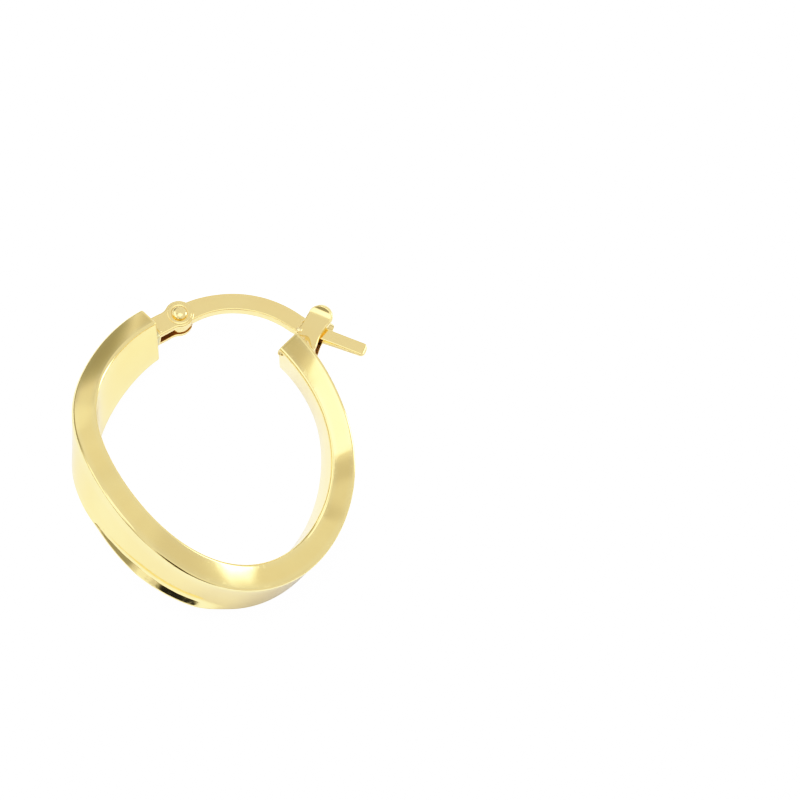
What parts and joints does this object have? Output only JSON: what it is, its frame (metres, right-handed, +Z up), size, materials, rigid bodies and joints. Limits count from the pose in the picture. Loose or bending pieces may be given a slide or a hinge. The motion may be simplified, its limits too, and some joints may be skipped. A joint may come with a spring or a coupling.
{
  "type": "hinged hoop earring",
  "caption": "Oval hoop earring of twisted rectangular tube in polished yellow gold, with a hinged flat ear wire closing into a catch clip.",
  "frame": {"origin": "centre of the footprint on the ground, under the earring lying on its side", "axes": "+Z up from the ground, +Y from the bottom of the oval towards its ear wire, +X from the hinge side towards the catch side"},
  "size_m": [0.0212, 0.0238, 0.0071],
  "materials": {
    "polished_gold": "polished 18 carat yellow gold",
    "wire_gold": "polished yellow gold with fine handling marks",
    "rivet_gold": "polished yellow gold"
  },
  "bodies": {
    "hoop": {"hoop": "polished_gold", "hinge_rivet": "rivet_gold"},
    "ear_wire": {"ear_wire": "wire_gold"}
  },
  "joints": [
    {"name": "ear_wire_hinge", "type": "hinge", "parent": "hoop", "child": "ear_wire", "pos_m": [-0.00282, 0.00962, 0.00282], "axis": [-0.2487, -0.007, 0.9686], "range_deg": [0, 140]}
  ]
}
